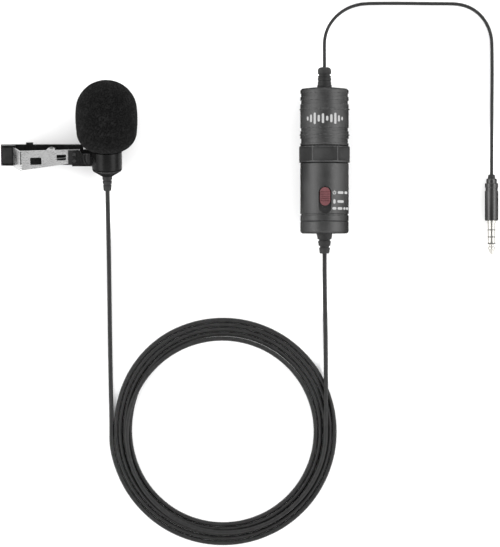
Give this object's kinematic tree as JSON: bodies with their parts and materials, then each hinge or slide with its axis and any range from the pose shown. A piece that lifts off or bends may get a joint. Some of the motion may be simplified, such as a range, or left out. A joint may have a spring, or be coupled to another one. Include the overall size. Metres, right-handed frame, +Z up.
{
  "type": "lavalier microphone",
  "caption": "Clip-on lavalier microphone with a foam windscreen, spring tie clip, tubular battery pack with a slide switch, coiled cord and jack plug.",
  "frame": {"origin": "on the table, under the middle of the box that holds the head, the clip and the battery pack, without the cords and the plug", "axes": "+X from the clip and head towards the battery pack and the plug; +Y from the cord end of the head and pack towards the foam's front; +Z up from the table"},
  "size_m": [0.225, 0.2469, 0.0303],
  "materials": {
    "foam": "open-cell foam",
    "barrel_metal": "satin black",
    "grille_metal": "satin",
    "mesh_cloth": "woven",
    "black_rubber": "matte",
    "capsule_can": "satin",
    "board_green": "solder mask",
    "wire_red": "insulated wire",
    "clip_plastic": "black",
    "pad_grey": "ribbed",
    "spring_steel": "bright",
    "pin_steel": "bright",
    "pack_metal": "satin black",
    "tray_plastic": "moulded",
    "component_mix": "moulded",
    "slider_red": "moulded",
    "cell_steel": "bright",
    "contact_brass": "bright",
    "plug_black": "satin black",
    "pin_nickel": "bright",
    "insulator_black": "moulded",
    "cord_black": "satin"
  },
  "bodies": {
    "power_pack": {"mic_housing": "barrel_metal", "tail_cone": "barrel_metal", "front_grille": "grille_metal", "dust_mesh": "mesh_cloth", "capsule_boot": "black_rubber", "mic_strain_relief": "black_rubber", "mic_cord_relief": "black_rubber", "seal_ring": "black_rubber", "mic_capsule": "capsule_can", "capsule_board": "board_green", "circuit_board": "board_green", "capsule_leads": "wire_red", "mic_cord_leads": "wire_red", "switch_body": "pin_steel", "board_screws": "pin_steel", "mic_cord_clamp": "pin_steel", "lower_case": "pack_metal", "bottom_cap": "pack_metal", "board_carrier": "tray_plastic", "cell_cup": "tray_plastic", "switch_mask": "tray_plastic", "board_components": "component_mix", "button_cell": "cell_steel", "cell_spring": "contact_brass", "mic_cord_upper": "cord_black", "mic_cord_lower": "cord_black", "mic_cord_coil": "cord_black"},
    "windscreen": {"foam_windscreen": "foam"},
    "clip": {"clip_body": "clip_plastic", "back_jaw_pad": "pad_grey", "clip_pivot_pin": "pin_steel", "clip_spring": "pin_steel"},
    "clip_jaw": {"clip_front_arm": "spring_steel", "thumb_pad": "clip_plastic", "pad_rivets": "barrel_metal"},
    "coupling_ring": {"coupling_ring": "pack_metal"},
    "switch_slider": {"switch_slider": "slider_red"},
    "upper_half": {"upper_case": "pack_metal", "contact_holder": "tray_plastic", "contact_plate": "contact_brass", "top_cap": "pack_metal", "output_cord_relief": "black_rubber", "output_cord_clamp": "pin_steel", "output_leads": "wire_red", "output_cord": "cord_black", "plug_boot": "black_rubber", "plug_cap": "plug_black", "plug_shell": "plug_black", "plug_cord_clamp": "pin_steel", "plug_collar": "pin_nickel", "plug_core": "insulator_black", "plug_sleeve": "pin_nickel", "plug_ring_two": "pin_nickel", "plug_ring_one": "pin_nickel", "plug_insulators": "insulator_black", "plug_tip": "pin_nickel", "plug_leads": "wire_red"}
  },
  "joints": [
    {"name": "windscreen_pull", "type": "slide", "parent": "power_pack", "child": "windscreen", "axis": [0, 0.9613, 0.2756], "range_m": [0, 0.022]},
    {"name": "clip_swivel", "type": "hinge", "parent": "power_pack", "child": "clip", "pos_m": [-0.03075, 0.0198, 0.0156], "axis": [0, 0.9613, 0.2756], "continuous": true},
    {"name": "jaw_open", "type": "hinge", "parent": "clip", "child": "clip_jaw", "pos_m": [-0.05575, 0.00184, 0.01076], "axis": [0, 0.9613, 0.2756], "range_deg": [0, 16], "stiffness_Nm_per_rad": 0.038, "springref_deg": -26.24, "deforming": ["clip_spring"]},
    {"name": "upper_half_slide", "type": "slide", "parent": "power_pack", "child": "upper_half", "axis": [0, 1, 0], "range_m": [0, 0.012]},
    {"name": "ring_turn", "type": "hinge", "parent": "upper_half", "child": "coupling_ring", "pos_m": [0.06735, 0.0028, 0.0114], "axis": [0, 1, 0], "range_deg": [0, 1440]},
    {"name": "switch_slide", "type": "slide", "parent": "power_pack", "child": "switch_slider", "axis": [0, -1, 0], "range_m": [0, 0.0032]}
  ],
  "couplings": [
    {"joint": "ring_turn", "follows": "upper_half_slide", "rad_per_m": 2094.4}
  ]
}
